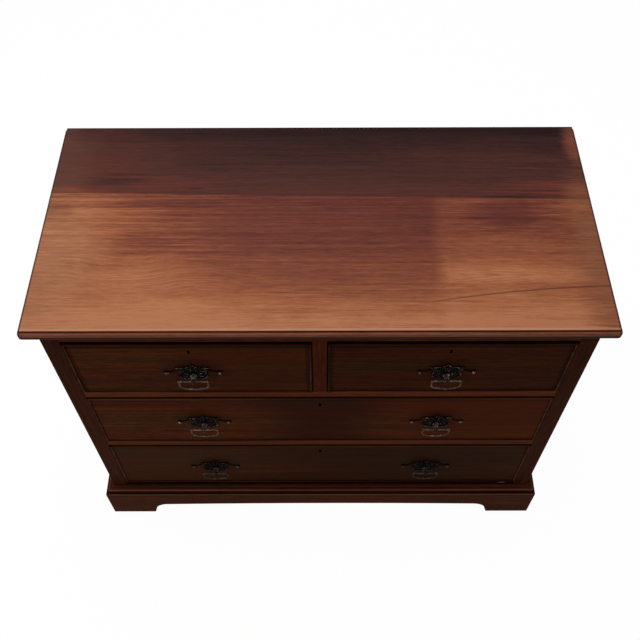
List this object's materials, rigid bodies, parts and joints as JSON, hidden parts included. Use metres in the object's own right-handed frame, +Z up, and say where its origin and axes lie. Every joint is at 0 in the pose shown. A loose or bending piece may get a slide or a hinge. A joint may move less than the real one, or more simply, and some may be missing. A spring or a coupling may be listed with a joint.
{
  "type": "chest of drawers",
  "caption": "Straight-fronted chest with short drawers over long drawers, moulded top, cock-beaded fronts, drop handles and a plinth on bracket feet.",
  "frame": {"origin": "on the floor under the middle of the top board", "axes": "+X along the front to the right as seen from the front, +Y from the front to the back, +Z up"},
  "size_m": [1.07, 0.525, 0.81],
  "materials": {
    "top_mahogany": "worn polish",
    "mahogany": "dark polish",
    "drawer_lining": "unpolished",
    "pine": "rough sawn",
    "dark_brass": "blackened",
    "brass": "dull",
    "steel": "dull"
  },
  "bodies": {
    "case": {"top_board": "top_mahogany", "side_left": "mahogany", "side_right": "mahogany", "front_stiles": "mahogany", "top_rails": "mahogany", "drawer_rails": "mahogany", "bottom_rail": "mahogany", "centre_divider": "mahogany", "bottom_board": "pine", "back_boards": "pine", "drawer_runners": "pine", "drawer_guides": "pine", "drawer_kickers": "pine", "drawer_stops": "pine", "dust_boards": "pine", "base_rails": "pine", "plinth_front": "mahogany", "plinth_sides": "mahogany", "base_moulding": "mahogany", "corner_blocks": "pine", "top_screws": "steel"},
    "short_drawer_left": {"short_drawer_left_front": "mahogany", "short_drawer_left_sides": "drawer_lining", "short_drawer_left_back": "drawer_lining", "short_drawer_left_bottom": "drawer_lining", "short_drawer_left_cock_bead": "mahogany", "short_drawer_left_lock": "brass", "short_drawer_left_handle_mounts": "dark_brass"},
    "short_drawer_left_lock_bolt": {"short_drawer_left_lock_bolt": "brass"},
    "short_drawer_left_bail": {"short_drawer_left_bail": "dark_brass"},
    "short_drawer_right": {"short_drawer_right_front": "mahogany", "short_drawer_right_sides": "drawer_lining", "short_drawer_right_back": "drawer_lining", "short_drawer_right_bottom": "drawer_lining", "short_drawer_right_cock_bead": "mahogany", "short_drawer_right_lock": "brass", "short_drawer_right_handle_mounts": "dark_brass"},
    "short_drawer_right_lock_bolt": {"short_drawer_right_lock_bolt": "brass"},
    "short_drawer_right_bail": {"short_drawer_right_bail": "dark_brass"},
    "upper_long_drawer": {"upper_long_drawer_front": "mahogany", "upper_long_drawer_sides": "drawer_lining", "upper_long_drawer_back": "drawer_lining", "upper_long_drawer_bottom": "drawer_lining", "upper_long_drawer_cock_bead": "mahogany", "upper_long_drawer_lock": "brass", "upper_long_drawer_handle_mounts": "dark_brass"},
    "upper_long_drawer_lock_bolt": {"upper_long_drawer_lock_bolt": "brass"},
    "upper_long_drawer_bail_left": {"upper_long_drawer_bail_left": "dark_brass"},
    "upper_long_drawer_bail_right": {"upper_long_drawer_bail_right": "dark_brass"},
    "lower_long_drawer": {"lower_long_drawer_front": "mahogany", "lower_long_drawer_sides": "drawer_lining", "lower_long_drawer_back": "drawer_lining", "lower_long_drawer_bottom": "drawer_lining", "lower_long_drawer_cock_bead": "mahogany", "lower_long_drawer_lock": "brass", "lower_long_drawer_handle_mounts": "dark_brass"},
    "lower_long_drawer_lock_bolt": {"lower_long_drawer_lock_bolt": "brass"},
    "lower_long_drawer_bail_left": {"lower_long_drawer_bail_left": "dark_brass"},
    "lower_long_drawer_bail_right": {"lower_long_drawer_bail_right": "dark_brass"}
  },
  "joints": [
    {"name": "short_drawer_left_slide", "type": "slide", "parent": "case", "child": "short_drawer_left", "axis": [0, -1, 0], "range_m": [0, 0.35]},
    {"name": "short_drawer_left_lock_bolt_slide", "type": "slide", "parent": "short_drawer_left", "child": "short_drawer_left_lock_bolt", "axis": [0, 0, 1], "range_m": [0, 0.01]},
    {"name": "short_drawer_left_bail_swing", "type": "hinge", "parent": "short_drawer_left", "child": "short_drawer_left_bail", "pos_m": [-0.24525, -0.2545, 0.636], "axis": [-1, 0, 0], "range_deg": [-18, 145]},
    {"name": "short_drawer_right_slide", "type": "slide", "parent": "case", "child": "short_drawer_right", "axis": [0, -1, 0], "range_m": [0, 0.35]},
    {"name": "short_drawer_right_lock_bolt_slide", "type": "slide", "parent": "short_drawer_right", "child": "short_drawer_right_lock_bolt", "axis": [0, 0, 1], "range_m": [0, 0.01]},
    {"name": "short_drawer_right_bail_swing", "type": "hinge", "parent": "short_drawer_right", "child": "short_drawer_right_bail", "pos_m": [0.24525, -0.2545, 0.636], "axis": [-1, 0, 0], "range_deg": [-18, 145]},
    {"name": "upper_long_drawer_slide", "type": "slide", "parent": "case", "child": "upper_long_drawer", "axis": [0, -1, 0], "range_m": [0, 0.35]},
    {"name": "upper_long_drawer_lock_bolt_slide", "type": "slide", "parent": "upper_long_drawer", "child": "upper_long_drawer_lock_bolt", "axis": [0, 0, 1], "range_m": [0, 0.01]},
    {"name": "upper_long_drawer_bail_left_swing", "type": "hinge", "parent": "upper_long_drawer", "child": "upper_long_drawer_bail_left", "pos_m": [-0.248, -0.2545, 0.4375], "axis": [-1, 0, 0], "range_deg": [-18, 145]},
    {"name": "upper_long_drawer_bail_right_swing", "type": "hinge", "parent": "upper_long_drawer", "child": "upper_long_drawer_bail_right", "pos_m": [0.248, -0.2545, 0.4375], "axis": [-1, 0, 0], "range_deg": [-18, 145]},
    {"name": "lower_long_drawer_slide", "type": "slide", "parent": "case", "child": "lower_long_drawer", "axis": [0, -1, 0], "range_m": [0, 0.35]},
    {"name": "lower_long_drawer_lock_bolt_slide", "type": "slide", "parent": "lower_long_drawer", "child": "lower_long_drawer_lock_bolt", "axis": [0, 0, 1], "range_m": [0, 0.01]},
    {"name": "lower_long_drawer_bail_left_swing", "type": "hinge", "parent": "lower_long_drawer", "child": "lower_long_drawer_bail_left", "pos_m": [-0.248, -0.2545, 0.219], "axis": [-1, 0, 0], "range_deg": [-18, 145]},
    {"name": "lower_long_drawer_bail_right_swing", "type": "hinge", "parent": "lower_long_drawer", "child": "lower_long_drawer_bail_right", "pos_m": [0.248, -0.2545, 0.219], "axis": [-1, 0, 0], "range_deg": [-18, 145]}
  ]
}
